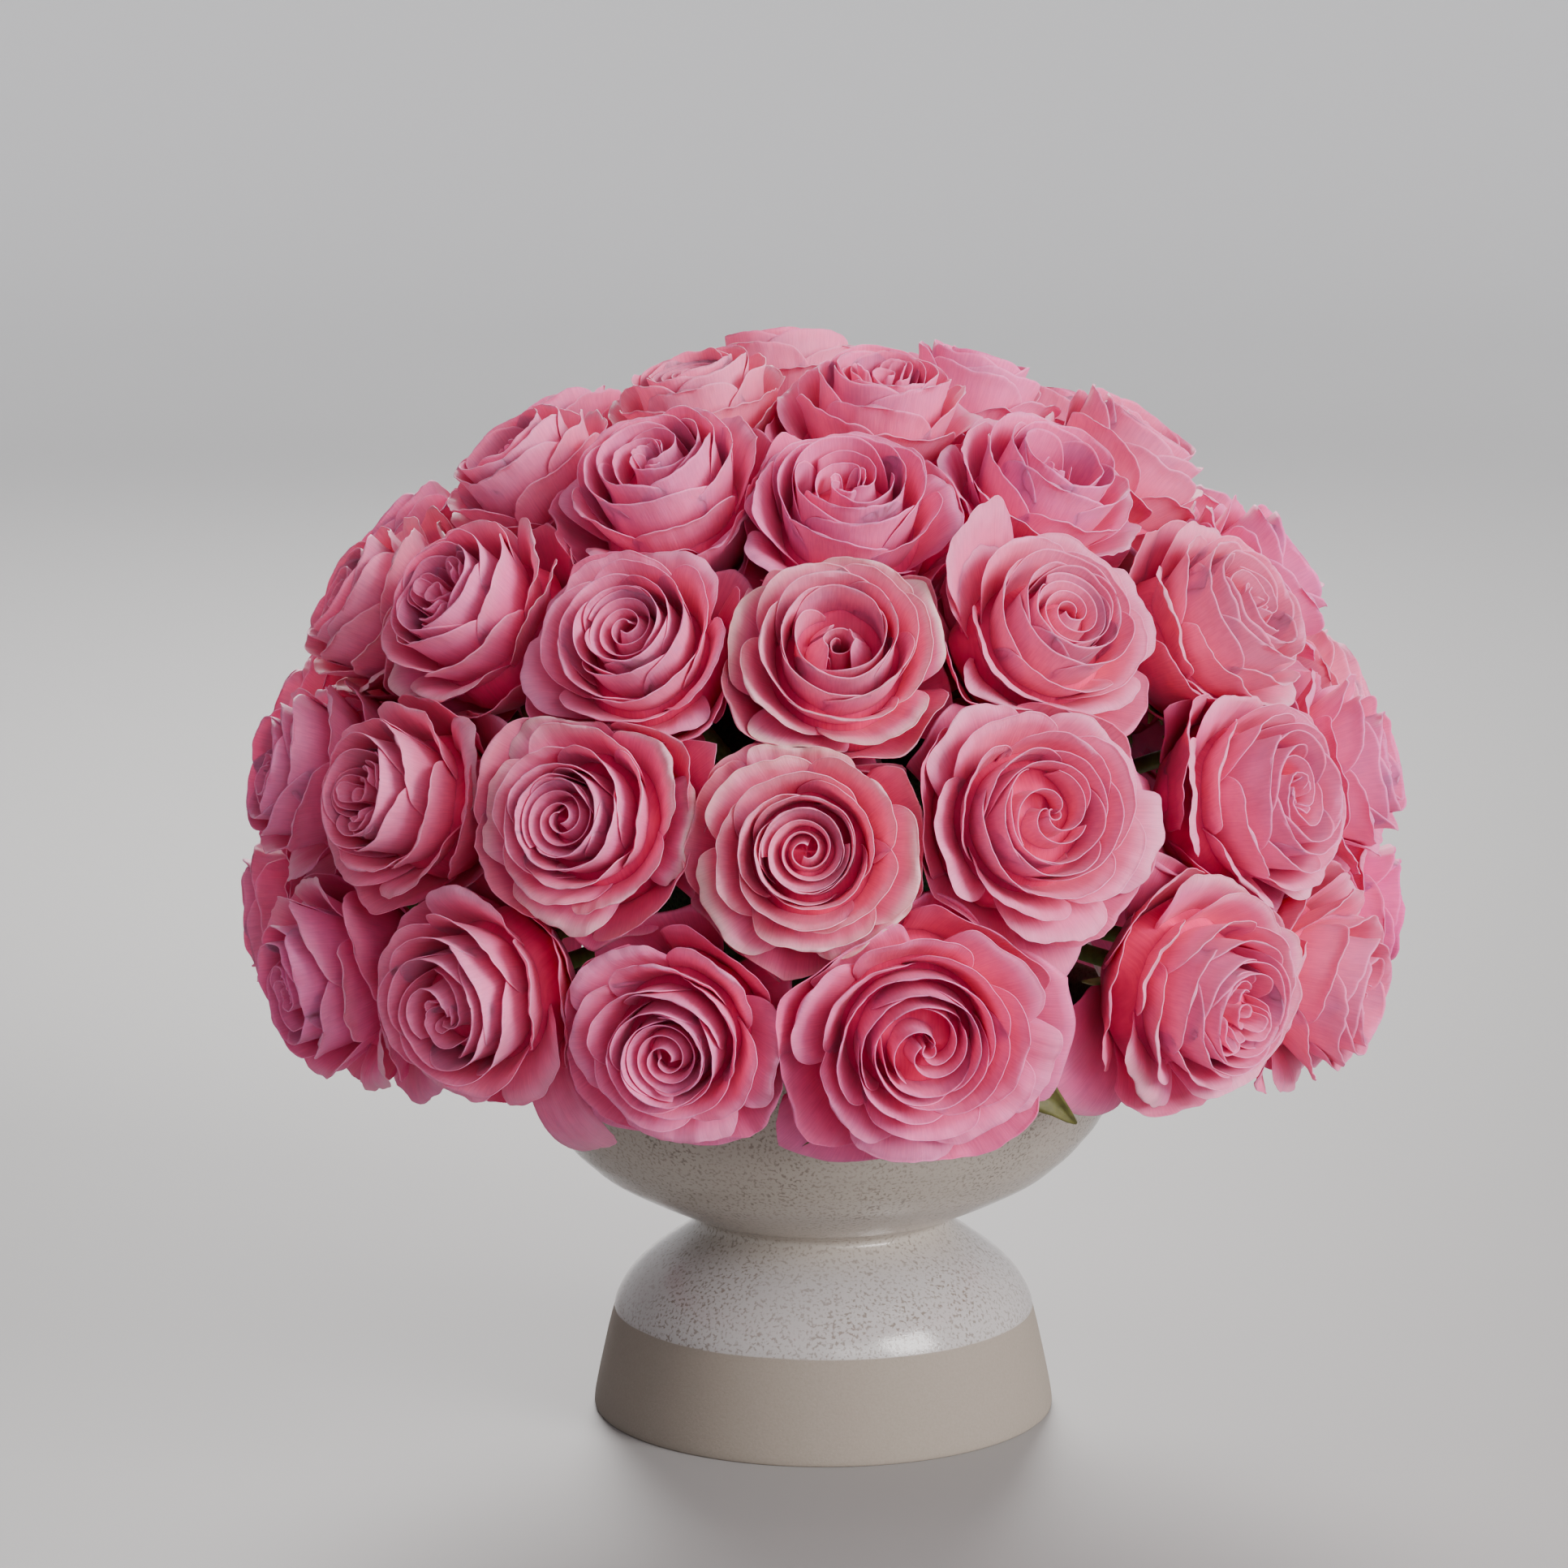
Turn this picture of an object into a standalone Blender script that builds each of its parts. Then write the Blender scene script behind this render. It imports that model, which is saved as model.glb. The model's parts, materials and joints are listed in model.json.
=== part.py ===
"""Flower centrepiece: a dome of garden roses pushed into floral foam in a footed stoneware bowl.

Metres, +Z up.  The bowl stands on its foot ring at z = 0 with its axis on Z.
Every rose is one piece (head, calyx and stem) and slides along its own stem.
"""

import math

import bmesh
import bpy
from mathutils import Matrix, Vector

MM = 0.001

# ---- driving dimensions, millimetres -------------------------------------------------
GAP = 0.35  # clearance between pieces that touch in real life

LATHE_STEPS = 44
RIM_RADIUS = 89.0
RIM_TOP = 121.5
# Outside of the bowl from the foot ring up to the rim, as (radius, height).
BOWL_OUTSIDE = (
    (65.8, 0.0), (66.9, 1.4), (64.6, 14.0), (61.0, 29.0), (57.6, 36.5), (52.8, 42.0),
    (46.6, 47.0), (39.6, 52.0), (36.4, 56.0), (38.6, 58.4), (44.4, 60.8), (54.7, 65.8),
    (63.2, 70.4), (70.9, 76.6), (78.0, 84.6), (83.4, 93.6), (87.0, 104.0),
    (RIM_RADIUS, 117.5), (88.0, 120.6), (86.0, RIM_TOP),
)
# Inside of the bowl from the rim down to the middle of its floor.
BOWL_INSIDE = (
    (84.2, 120.4), (83.2, 117.0), (81.6, 106.0), (78.2, 96.6), (72.6, 87.6),
    (65.6, 79.8), (57.0, 74.0), (46.0, 69.6), (30.0, 66.6), (0.0, 65.8),
)
# Hollow under the foot from the middle of its roof down to the foot ring.
FOOT_HOLLOW = (
    (0.0, 55.0), (20.0, 53.4), (30.4, 49.0), (40.6, 42.6), (48.8, 36.0), (54.4, 27.0),
    (58.0, 12.0), (60.2, 1.0), (61.2, 0.0),
)

# Foam cylinder, its foot shaved to the bowl and its top to a dome, as (radius, height).
FOAM_STEPS = 24
FOAM_FOOT = ((28.0, 67.1), (43.0, 70.2), (54.0, 75.4), (58.0, 81.0))
FOAM_DOME = (
    (58.0, 180.0), (54.0, 192.0), (46.0, 202.0), (35.0, 208.4), (23.0, 211.6), (11.0, 212.6),
)

# One hole in the foam for each stem.
HOLE_SIDES = 8
HOLE_MOUTH = 130.0  # from the dome's centre, well past the foam's surface

# Anchor tape over the foam: each strip's turn about Z, its sideways places at the near rim,
# near shoulder, far shoulder and far rim, and its lift over the strip below it.
TAPE_WIDTH = 6.0
TAPE_THICK = 0.5
TAPE_STRIPS = ((18.0, (-6.0, -3.0, -18.0, -18.0), 0.0), (78.0, (-3.0, -9.0, 15.0, 3.0), 1.0))
# Where a strip lies on the bowl's rim and on the foam's shoulder, as (radius, height).
TAPE_ON_RIM = ((87.45, 104.0), (89.45, 117.4), (88.4, 120.95), (86.1, 121.95))
TAPE_ON_SHOULDER = ((58.5, 180.5), (54.5, 192.4), (46.4, 202.4), (35.3, 208.95))
# Its places along the foam's top, and its height over the foam there.
TAPE_ALONG_TOP = (-23.0, -12.0, 0.0, 12.0, 23.0)
TAPE_OFF_FOAM = 0.55

# Dome of roses around one point on the bowl's axis, where all the stems aim.
DOME_Z = 158.0
DOME_SIDE = 169.0  # from that point to the face of a rose at the dome's side
DOME_TOP = 155.0  # and at its crown
HEAD_DEPTH = 50.0
STEM_RADIUS = 2.5
STEM_TIP = 34.0  # from that point to the cut end of every stem
BLOOM_RADIUS = 37.0
PETALS_ROUND = 5
PETAL_SWING = 14.0  # how far petal tips stand above and below their tier, for a swing of 1
WIDEST_TIER = 12.0  # the widest tier of petals, below the face
HEART_DIP = 6.0  # the middle of the head, below the face
SPIN_STEP = 0.9  # turn of each rose about its stem after the one before, in radians

# Tiers of one head from the calyx in to the heart: depth below the face, share of the bloom's
# radius, swing of the petal tips, and whether the tier is turned by half a petal.
TIERS = (
    (38.0, 0.40, 0.00, 0), (WIDEST_TIER, 1.00, 0.09, 0), (14.5, 0.74, 0.00, 0), (3.5, 0.66, 0.10, 1),
    (9.0, 0.42, 0.00, 1), (0.0, 0.33, 0.12, 0),
)

# Rows from the rim to the crown: latitude, then the azimuth of each rose from the front.
ROWS = {
    "a": (-6, (-91, -65, -39, -16, 9, 43, 67, 92, 117, 142, 168, 194, 219, 244)),
    "b": (14, (-76, -52, -26, -2, 22, 54, 79, 104, 130, 156, 182, 208, 234, 259)),
    "c": (34, (-78, -53, -25, 1, 29, 60, 88, 115, 143, 171, 199, 227, 255)),
    "d": (54, (-72, -33, 4, 46, 88, 128, 168, 208, 248)),
    "e": (73, (-60, 20, 105, 195)),
}
# Roses that opened wider or less than the rest.
SIZES = {"a05": 1.16, "a06": 1.08, "a04": 0.94, "b05": 1.08, "b06": 1.06, "b02": 0.92, "a08": 0.86}

PINKS = (
    (0.86, 0.30, 0.42), (0.90, 0.38, 0.48), (0.82, 0.26, 0.38), (0.92, 0.44, 0.52), (0.87, 0.34, 0.47),
)


# ---- small tools ---------------------------------------------------------------------
def clear_scene():
    for old in list(bpy.data.objects):
        bpy.data.objects.remove(old, do_unlink=True)


def material(name, colour, roughness, metallic=0.0):
    made = bpy.data.materials.new(name)
    made.use_nodes = True
    shader = made.node_tree.nodes["Principled BSDF"]
    shader.inputs["Base Color"].default_value = (*colour, 1.0)
    shader.inputs["Roughness"].default_value = roughness
    shader.inputs["Metallic"].default_value = metallic
    return made


def add_object(name, mesh, look, smooth=False):
    obj = bpy.data.objects.new(name, mesh)
    bpy.context.scene.collection.objects.link(obj)
    mesh.materials.append(look)
    for face in mesh.polygons:
        face.use_smooth = smooth
    return obj


def loft(name, rings, close_start=True, close_end=True):
    """A closed mesh through rings of equal count; a ring of one point ends in a fan."""
    bm = bmesh.new()
    rows = [[bm.verts.new(point) for point in ring] for ring in rings]
    for low, high in zip(rows, rows[1:]):
        count = max(len(low), len(high))
        for k in range(count):
            n = (k + 1) % count
            if len(low) == 1:
                bm.faces.new((low[0], high[n], high[k]))
            elif len(high) == 1:
                bm.faces.new((low[k], low[n], high[0]))
            else:
                bm.faces.new((low[k], low[n], high[n], high[k]))
    if close_start and len(rows[0]) > 1:
        bm.faces.new(list(reversed(rows[0])))
    if close_end and len(rows[-1]) > 1:
        bm.faces.new(rows[-1])
    bmesh.ops.recalc_face_normals(bm, faces=bm.faces)
    mesh = bpy.data.meshes.new(name)
    bm.to_mesh(mesh)
    bm.free()
    return mesh


def circle(radius, height, steps, turn=0.0):
    points = []
    for k in range(steps):
        angle = math.tau * k / steps + turn
        points.append(Vector((radius * math.cos(angle), radius * math.sin(angle), height)) * MM)
    return points


# ---- where the roses are -------------------------------------------------------------
def direction(azimuth, latitude):
    """Unit vector; azimuth 0 is the front (-Y) and grows towards +X."""
    az = math.radians(azimuth)
    lat = math.radians(latitude)
    return Vector((math.cos(lat) * math.sin(az), -math.cos(lat) * math.cos(az), math.sin(lat)))


def rose_plan():
    """Every rose as a name, its stem direction and its size."""
    plan = []
    for row, (latitude, azimuths) in ROWS.items():
        for k, azimuth in enumerate(azimuths, 1):
            name = f"{row}{k:02d}"
            # neighbours in a row stand a little above and below each other
            lift = 1.6 * math.sin(2.4 * k + latitude)
            plan.append((name, direction(azimuth, latitude + lift), SIZES.get(name, 1.0)))
    return plan


def walls_between(plan, index):
    """Planes through the dome's centre that part one rose from each neighbour.

    Each is the unit tangent towards the neighbour and the angle to the plane.
    """
    axis, size = plan[index][1:]
    walls = []
    for other, (_, other_axis, other_size) in enumerate(plan):
        if other == index:
            continue
        apart = axis.angle(other_axis)
        if apart < math.radians(60):
            tangent = (other_axis - axis * other_axis.dot(axis)).normalized()
            walls.append((tangent, apart * size / (size + other_size)))
    return walls


def room(walls, sideways, distance):
    """How far a rose may spread sideways at this distance from the dome's centre."""
    free = 1000.0
    for tangent, angle in walls:
        lean = tangent.dot(sideways) * math.cos(angle)
        if lean > 1e-6:
            free = min(free, (distance * math.sin(angle) - GAP / 2) / lean)
    return free


def rose_frame(axis):
    """Right-handed axes with Z out along the stem and X level."""
    side = Vector((0, 0, 1)).cross(axis).normalized()
    return side, axis.cross(side), axis


def face_distance(axis):
    return DOME_SIDE + (DOME_TOP - DOME_SIDE) * max(axis.z, 0.0) ** 2


# ---- pieces --------------------------------------------------------------------------
def build_bowl():
    """Thrown bowl and foot in one piece of clay, lathed about Z."""
    rings = []
    for radius, height in FOOT_HOLLOW + BOWL_OUTSIDE + BOWL_INSIDE:
        if radius == 0.0:
            rings.append([Vector((0, 0, height)) * MM])
        else:
            rings.append(circle(radius, height, LATHE_STEPS))
    look = material("speckled_stoneware", (0.62, 0.57, 0.52), 0.3)
    return add_object("compote_bowl", loft("compote_bowl", rings), look, True)


def build_foam(plan):
    """Foam cylinder standing in the bowl, with one hole for each stem."""
    rings = [circle(radius, height, FOAM_STEPS) for radius, height in FOAM_FOOT + FOAM_DOME]
    look = material("foam_green", (0.10, 0.22, 0.09), 0.95)
    foam = add_object("floral_foam", loft("floral_foam", rings), look)

    holes = bmesh.new()
    radius = (STEM_RADIUS + GAP) / math.cos(math.pi / HOLE_SIDES)
    start = STEM_TIP - GAP
    depth = HOLE_MOUTH - start
    for _, axis, _ in plan:
        side, up, out = rose_frame(axis)
        centre = Vector((0, 0, DOME_Z)) + out * (start + depth / 2)
        place = Matrix((side, up, out)).transposed().to_4x4()
        place.translation = centre * MM
        bmesh.ops.create_cone(
            holes, cap_ends=True, segments=HOLE_SIDES, radius1=radius * MM, radius2=radius * MM,
            depth=depth * MM, matrix=place,
        )
    mesh = bpy.data.meshes.new("stem_holes")
    holes.to_mesh(mesh)
    holes.free()
    cutter = bpy.data.objects.new("stem_holes", mesh)
    bpy.context.scene.collection.objects.link(cutter)
    cutter.hide_render = True
    cutter.display_type = "WIRE"
    cut = foam.modifiers.new("stem_holes", "BOOLEAN")
    cut.operation = "DIFFERENCE"
    cut.solver = "EXACT"
    cut.object = cutter
    return foam


def foam_height(radius):
    """Top of the foam at this distance from its axis."""
    for (outer, low), (inner, high) in zip(FOAM_DOME, FOAM_DOME[1:]):
        if radius >= inner:
            return high + (low - high) * (radius - inner) / (outer - inner)
    return FOAM_DOME[-1][1]


def tape_edge(places, lift, edge):
    """One edge of a strip from rim to rim, along Y."""
    near_rim, near, far, far_rim = (place + edge for place in places)
    shoulder = [(radius, height + lift) for radius, height in TAPE_ON_SHOULDER]
    ends = [(near_rim, radius, height) for radius, height in TAPE_ON_RIM]
    ends += [(near, radius, height) for radius, height in shoulder]
    points = [Vector((x, -math.sqrt(radius ** 2 - x ** 2), height)) for x, radius, height in ends]
    reach = shoulder[-1][0]
    for along in TAPE_ALONG_TOP:
        x = near + (far - near) * (along + reach) / (2 * reach)
        points.append(Vector((x, along, foam_height(math.hypot(x, along)) + TAPE_OFF_FOAM + lift)))
    ends = [(far, radius, height) for radius, height in reversed(shoulder)]
    ends += [(far_rim, radius, height) for radius, height in reversed(TAPE_ON_RIM)]
    points += [Vector((x, math.sqrt(radius ** 2 - x ** 2), height)) for x, radius, height in ends]
    return points


def build_tape(number, turn, places, lift):
    """A strip of anchor tape stuck to the rim, over the foam and down to the rim again."""
    left_edge = tape_edge(places, lift, -TAPE_WIDTH / 2)
    right_edge = tape_edge(places, lift, TAPE_WIDTH / 2)
    edges = list(zip(left_edge, right_edge))
    spin = Matrix.Rotation(math.radians(turn), 3, "Z")
    rings = []
    for k, (left, right) in enumerate(edges):
        before = edges[max(k - 1, 0)]
        after = edges[min(k + 1, len(edges) - 1)]
        run = ((after[0] + after[1]) - (before[0] + before[1])).normalized()
        out = (right - left).cross(run).normalized() * TAPE_THICK
        rings.append([spin @ point * MM for point in (left, right, right + out, left + out)])
    name = f"anchor_tape_{number}"
    return add_object(name, loft(name, rings), material(name, (0.85, 0.87, 0.84), 0.35))


def build_rose(plan, index):
    """One rose: stem, calyx and an open head of petals in tiers."""
    name, axis, size = plan[index]
    side, up, out = rose_frame(axis)
    walls = walls_between(plan, index)
    face = face_distance(axis)
    steps = 2 * PETALS_ROUND
    spin = SPIN_STEP * index
    base = face - HEAD_DEPTH
    rings = [circle(STEM_RADIUS, STEM_TIP - base, steps), circle(STEM_RADIUS, 0.0, steps)]
    for below, share, swing, turn in TIERS:
        ring = []
        for k in range(steps):
            angle = math.tau * k / steps
            tip = 1.0 if (k + turn) % 2 == 0 else -1.0
            height = face - below + PETAL_SWING * swing * tip
            sideways = side * math.cos(angle + spin) + up * math.sin(angle + spin)
            spread = min(BLOOM_RADIUS * size, room(walls, sideways, face - WIDEST_TIER))
            radius = spread * share * (1.0 - swing * (1.0 - tip) / 2)
            radius = min(radius, room(walls, sideways, height))
            ring.append(Vector((radius * math.cos(angle), radius * math.sin(angle), height - base)) * MM)
        rings.append(ring)
    rings.append([Vector((0, 0, face - HEART_DIP - base)) * MM])

    look = material(f"petals_{name}", PINKS[index % len(PINKS)], 0.6)
    rose = add_object(f"rose_{name}", loft(f"rose_{name}", rings), look)
    turned_side = side * math.cos(spin) + up * math.sin(spin)
    turned_up = out.cross(turned_side)
    place = Matrix((turned_side, turned_up, out)).transposed().to_4x4()
    place.translation = (Vector((0, 0, DOME_Z)) + out * base) * MM
    rose.matrix_world = place
    return rose


def build():
    clear_scene()
    plan = rose_plan()
    build_bowl()
    build_foam(plan)
    for number, (turn, places, lift) in enumerate(TAPE_STRIPS, 1):
        build_tape(number, turn, places, lift)
    for index in range(len(plan)):
        build_rose(plan, index)


build()
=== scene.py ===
"""Looks of the rose centrepiece: petals, leaves, glaze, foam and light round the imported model."""

import json
import math

import bpy
import numpy as np
from mathutils import Matrix, Vector


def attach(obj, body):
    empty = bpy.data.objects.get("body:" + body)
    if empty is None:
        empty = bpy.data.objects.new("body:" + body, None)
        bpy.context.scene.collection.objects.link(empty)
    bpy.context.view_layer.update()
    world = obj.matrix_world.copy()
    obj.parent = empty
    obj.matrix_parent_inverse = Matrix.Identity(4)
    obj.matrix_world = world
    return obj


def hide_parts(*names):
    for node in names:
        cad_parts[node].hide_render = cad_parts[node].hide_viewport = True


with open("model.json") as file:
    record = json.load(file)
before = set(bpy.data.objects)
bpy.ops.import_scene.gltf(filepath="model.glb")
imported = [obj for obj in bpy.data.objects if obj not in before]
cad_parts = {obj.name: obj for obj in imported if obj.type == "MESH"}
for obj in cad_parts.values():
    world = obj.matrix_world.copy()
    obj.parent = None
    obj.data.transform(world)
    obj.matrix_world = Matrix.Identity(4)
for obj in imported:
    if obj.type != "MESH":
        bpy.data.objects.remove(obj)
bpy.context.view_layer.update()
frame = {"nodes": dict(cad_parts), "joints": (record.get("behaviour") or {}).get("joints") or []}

MM = 0.001

# ---- driving sizes, millimetres, as in the CAD ----------------------------------------
DOME_Z = 158.0
DOME_SIDE = 169.0
DOME_TOP = 155.0
HEAD_DEPTH = 50.0
STEM_TIP = 34.0
GLAZE_LINE = 29.5
FREE_REACH = 60.0  # further than any petal reaches, for bearings with no neighbour
NEIGHBOUR = math.radians(60)  # roses whose stems lie further apart don't meet
GOLDEN_TURN = math.radians(137.5)  # from one standing petal to the next
UV_PER_MM = 0.02

PETAL_SLOT, GREEN_SLOT = 0, 1  # the two materials on each rose

# Roses that opened wider or less than the rest, as in the CAD.
SIZES = {"a05": 1.16, "a06": 1.08, "a04": 0.94, "b05": 1.08, "b06": 1.06, "b02": 0.92, "a08": 0.86}

# How the heart of a rose has opened; the rest take turns.
HEARTS = {
    "a05": "swirl", "b05": "swirl", "b04": "spiral", "b03": "spiral", "c04": "open", "c03": "spiral",
    "a04": "spiral", "a06": "quartered", "b06": "cupped", "c05": "spiral", "c06": "cupped",
    "d03": "cupped", "d04": "open", "c02": "quartered", "a03": "cupped", "b02": "quartered",
    "a02": "cupped", "d05": "cupped", "e02": "quartered",
}
HEART_TURNS = ("cupped", "spiral", "swirl", "quartered", "cupped", "spiral", "open")

# A rose with one tall petal standing out beyond the rest, and that petal's bearing.
TALL_PETALS = {"c05": 2.25, "c09": 0.9, "b11": 2.6}

# A rose with one long petal hanging down over the bowl, and that petal's bearing.
HANGING_PETALS = {"a03": -1.18, "a10": -1.8}

# Leaves that show below or between the roses: bearing about the stem, length and droop.
LEAVES = {
    "a05": ((-0.34, 49.0, 16.0), (-2.3, 42.0, 4.0)),
    "a11": ((-1.9, 50.0, 14.0),), "a08": ((-1.2, 48.0, 10.0),), "a13": ((-1.0, 50.0, 12.0),),
    "b03": ((0.5, 40.0, 3.0),), "b05": ((1.0, 43.0, 3.0),), "b09": ((-0.6, 42.0, 3.0),),
    "c07": ((-1.0, 40.0, 2.0),),
}

# How much of the bud's cream and green is left on the rims.
CREAM = {
    "c04": 0.55, "b04": 0.5, "b03": 0.4, "a06": 0.3, "c02": 0.3, "b06": 0.2, "c01": 0.3, "a02": 0.3,
}

# A rose in a pink of its own, as factors on red, green and blue.
TONES = {"a08": (0.95, 0.42, 0.80)}

# Colours: a petal's throat (a deeper pink with painted shade, for where the petals overlap), blade and rim,
# a bud's leftover cream, the guard petals, and greens.
DEEP_PINK_AND_SHADE = np.array((0.95, 0.060, 0.240))
MIDDLE = np.array((0.96, 0.165, 0.392))
PALE = np.array((0.97, 0.230, 0.485))
CREAM_RIM = np.array((0.90, 0.66, 0.50))
GUARD = np.array((0.88, 0.100, 0.290))
GREEN = np.array((0.13, 0.20, 0.045))
LEAF = np.array((0.066, 0.064, 0.013))
GREEN_PALE = np.array((0.36, 0.40, 0.13))


# ---- small tools ----------------------------------------------------------------------
def smoothstep(low, high, value):
    t = np.clip((value - low) / (high - low), 0.0, 1.0)
    return t * t * (3.0 - 2.0 * t)


def mixed(first, second, share):
    """Colours mixed point by point; share is an array."""
    share = np.clip(share, 0.0, 1.0)[..., None]
    return first * (1.0 - share) + second * share


class Sheets:
    """Gathers thin closed shells, each from a grid of points, into one mesh."""

    def __init__(self):
        self.points, self.faces, self.colours, self.uvs, self.slots = [], [], [], [], []
        self.count = 0

    def add(self, points, quads, colours, uv, slot):
        self.points.append(points)
        self.faces.append(quads + self.count)
        self.colours.append(colours)
        self.uvs.append(uv)
        self.slots.append(np.full(len(quads), slot))
        self.count += len(points)

    def shell(self, grid, thickness, inner, outer, uv, slot=PETAL_SLOT):
        """A (rows, columns, 3) grid given a thickness; inner and outer colour its two sides."""
        rows, columns = grid.shape[:2]
        along = np.gradient(grid, axis=0)
        across = np.gradient(grid, axis=1)
        normal = np.cross(across, along)
        normal /= np.maximum(np.linalg.norm(normal, axis=2, keepdims=True), 1e-9)
        half = normal * (np.asarray(thickness) / 2)[..., None]
        points = np.concatenate([(grid + half).reshape(-1, 3), (grid - half).reshape(-1, 3)])
        index = np.arange(rows * columns).reshape(rows, columns)
        low, right = index[:-1, :-1].ravel(), index[:-1, 1:].ravel()
        up, far = index[1:, :-1].ravel(), index[1:, 1:].ravel()
        front = np.stack([low, right, far, up], 1)
        back = np.stack([low, up, far, right], 1) + rows * columns
        edge = np.concatenate([index[0], index[1:, -1], index[-1, -2::-1], index[-2:0:-1, 0]])
        after = np.roll(edge, -1)
        rim = np.stack([edge, edge + rows * columns, after + rows * columns, after], 1)
        colours = np.concatenate([inner.reshape(-1, 3), outer.reshape(-1, 3)])
        self.add(points, np.concatenate([front, back, rim]), colours, np.concatenate([uv, uv]), slot)

    def tube(self, path, radii, sides, colour, slot):
        """A closed round tube along a path."""
        path = np.asarray(path, float)
        run = np.gradient(path, axis=0)
        run /= np.linalg.norm(run, axis=1, keepdims=True)
        helper = np.array((1.0, 0.13, 0.07))
        side = np.cross(run, helper)
        side /= np.linalg.norm(side, axis=1, keepdims=True)
        lift = np.cross(run, side)
        turn = np.linspace(0, math.tau, sides, endpoint=False)
        rings = path[:, None] + np.asarray(radii)[:, None, None] * (
            side[:, None] * np.cos(turn)[None, :, None] + lift[:, None] * np.sin(turn)[None, :, None]
        )
        points = np.concatenate([rings.reshape(-1, 3), path[:1], path[-1:]])
        index = np.arange(len(path) * sides).reshape(len(path), sides)
        after = np.roll(index, -1, axis=1)
        walls = np.stack(
            [index[:-1].ravel(), after[:-1].ravel(), after[1:].ravel(), index[1:].ravel()], 1
        )
        first, last = len(path) * sides, len(path) * sides + 1
        start = np.stack([index[0], np.full(sides, first), np.full(sides, first), after[0]], 1)
        end = np.stack([index[-1], after[-1], np.full(sides, last), np.full(sides, last)], 1)
        colours = np.tile(colour, (len(points), 1))
        uv = points[:, :2] * 0.1
        self.add(points, np.concatenate([walls, start, end]), colours, uv, slot)

    def mesh(self, name):
        points = np.concatenate(self.points) * MM
        quads = np.concatenate(self.faces)
        made = bpy.data.meshes.new(name)
        faces = [[a, b, c, d] if len({a, b, c, d}) == 4 else list(dict.fromkeys((a, b, c, d)))
                 for a, b, c, d in quads.tolist()]
        made.from_pydata(points.tolist(), [], faces)
        colours = np.concatenate(self.colours)
        tint = made.color_attributes.new("tint", "FLOAT_COLOR", "POINT")
        rgba = np.concatenate([colours, np.ones((len(colours), 1))], 1).astype(np.float32)
        tint.data.foreach_set("color", rgba.ravel())
        vertex_uv = np.concatenate(self.uvs)
        corners = np.empty(len(made.loops), np.int32)
        made.loops.foreach_get("vertex_index", corners)
        layer = made.uv_layers.new(name="blade")
        layer.data.foreach_set("uv", vertex_uv[corners].astype(np.float32).ravel())
        made.polygons.foreach_set("material_index", np.concatenate(self.slots).astype(np.int32))
        made.polygons.foreach_set("use_smooth", np.ones(len(made.polygons), bool))
        made.update()
        return made


# ---- room for each rose ---------------------------------------------------------------
def rose_axes():
    """Stem directions from the joints, by the rose's short name."""
    found = {}
    for joint in frame["joints"]:
        found[joint["child"].removeprefix("rose_")] = Vector(joint["axis"]).normalized()
    return found


def rose_frame(axis):
    side = Vector((0, 0, 1)).cross(axis).normalized()
    return side, axis.cross(side), axis


def walls_round(axes, name):
    """Each neighbour's bearing about the stem and the angle out to the plane between them."""
    axis = axes[name]
    side, up, _ = rose_frame(axis)
    size = SIZES.get(name, 1.0)
    walls = []
    for other, other_axis in axes.items():
        apart = axis.angle(other_axis)
        if other == name or apart > NEIGHBOUR:
            continue
        bearing = math.atan2(other_axis.dot(up), other_axis.dot(side))
        walls.append((bearing, apart * size / (size + SIZES.get(other, 1.0))))
    return walls


def room(walls, bearing, distance, allow):
    """How far a petal may reach at these bearings and distances from the dome's centre."""
    free = np.full(np.broadcast(bearing, distance).shape, FREE_REACH)
    for wall, angle in walls:
        lean = np.cos(bearing - wall) * math.cos(angle)
        reach = (distance * math.sin(angle) + allow) / np.maximum(lean, 0.05)
        free = np.minimum(free, np.where(lean > 0.05, reach, FREE_REACH))
    return free


# ---- petals ---------------------------------------------------------------------------
def ruffle(rng, u, waves):
    """A smooth uneven wave along a rim."""
    total = np.zeros_like(u)
    for wave, height in waves:
        total += height * np.sin(u * wave * math.pi * rng.uniform(0.85, 1.15) + rng.uniform(0, math.tau))
    return total


def nicks(rng, u, count):
    """Small soft notches at chance places along a rim, each 0 to 1 deep."""
    total = np.zeros_like(u)
    for _ in range(count):
        place, half = rng.uniform(-0.9, 0.9), rng.uniform(0.03, 0.07)
        total += rng.uniform(0.3, 1.0) * np.exp(-((u - place) / half) ** 2)
    return total


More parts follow.
